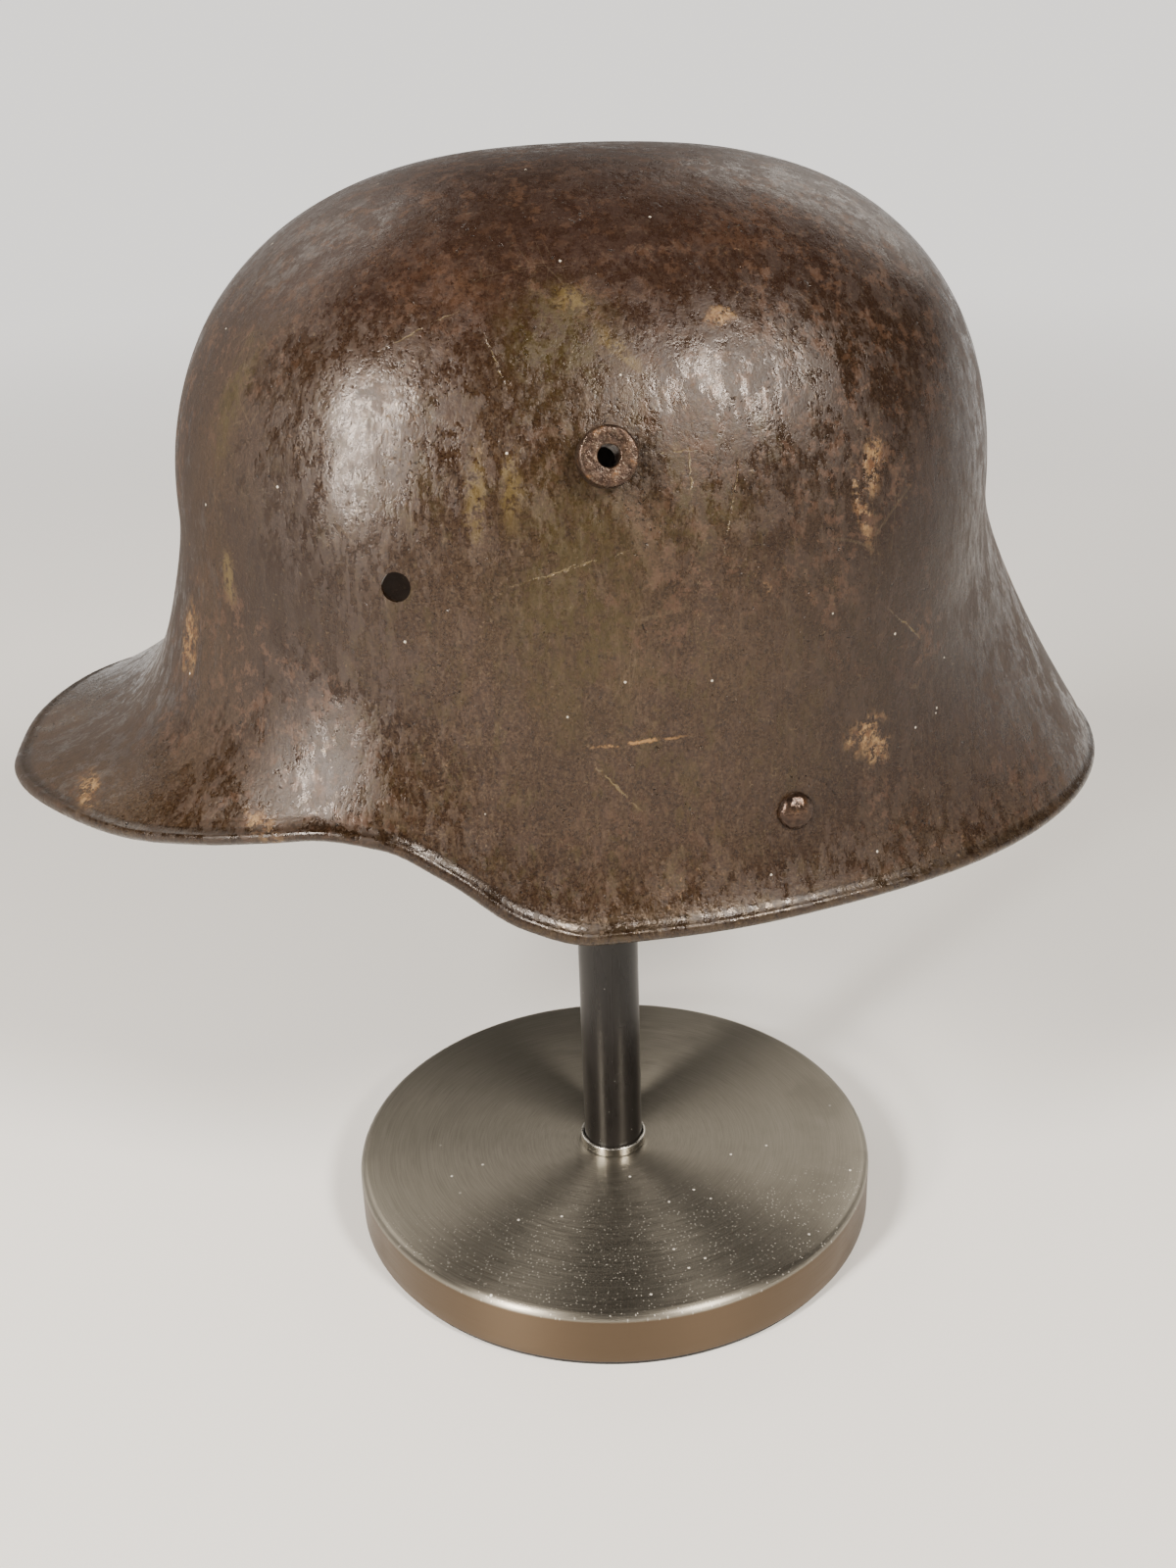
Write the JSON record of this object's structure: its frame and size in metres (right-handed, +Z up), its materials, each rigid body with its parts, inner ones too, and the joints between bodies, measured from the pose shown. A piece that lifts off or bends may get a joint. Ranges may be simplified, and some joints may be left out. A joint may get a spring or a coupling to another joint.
{
  "type": "steel combat helmet on a display stand",
  "caption": "Pressed steel helmet with a deep visor, flared skirts, hollow side lugs and a rolled edge, held on a plain post with a round weighted base.",
  "frame": {"origin": "middle of the stand's underside, on the axis of the post", "axes": "+Z up along the post, -X towards the visor, -Y towards the wearer's left side"},
  "size_m": [0.3138, 0.2108, 0.3308],
  "materials": {
    "shell_steel": "dark brown patina over worn paint, semi-gloss, finely pitted and scratched",
    "fitting_steel": "dark worn steel with rust at the edges, semi-gloss",
    "pad": "matte black pad",
    "disc_steel": "circular brushed stainless steel, satin",
    "collar_steel": "polished bright steel",
    "post_metal": "polished black metal",
    "rest_plastic": "plain matte grey, hidden"
  },
  "bodies": {
    "root": {"shell": "shell_steel", "vent_lug_left": "fitting_steel", "vent_lug_right": "fitting_steel", "chinstrap_rivet_left": "fitting_steel", "chinstrap_rivet_right": "fitting_steel", "base_pad": "pad", "base_disc": "disc_steel", "post_collar": "collar_steel", "post": "post_metal", "crown_rest": "rest_plastic"}
  },
  "joints": []
}
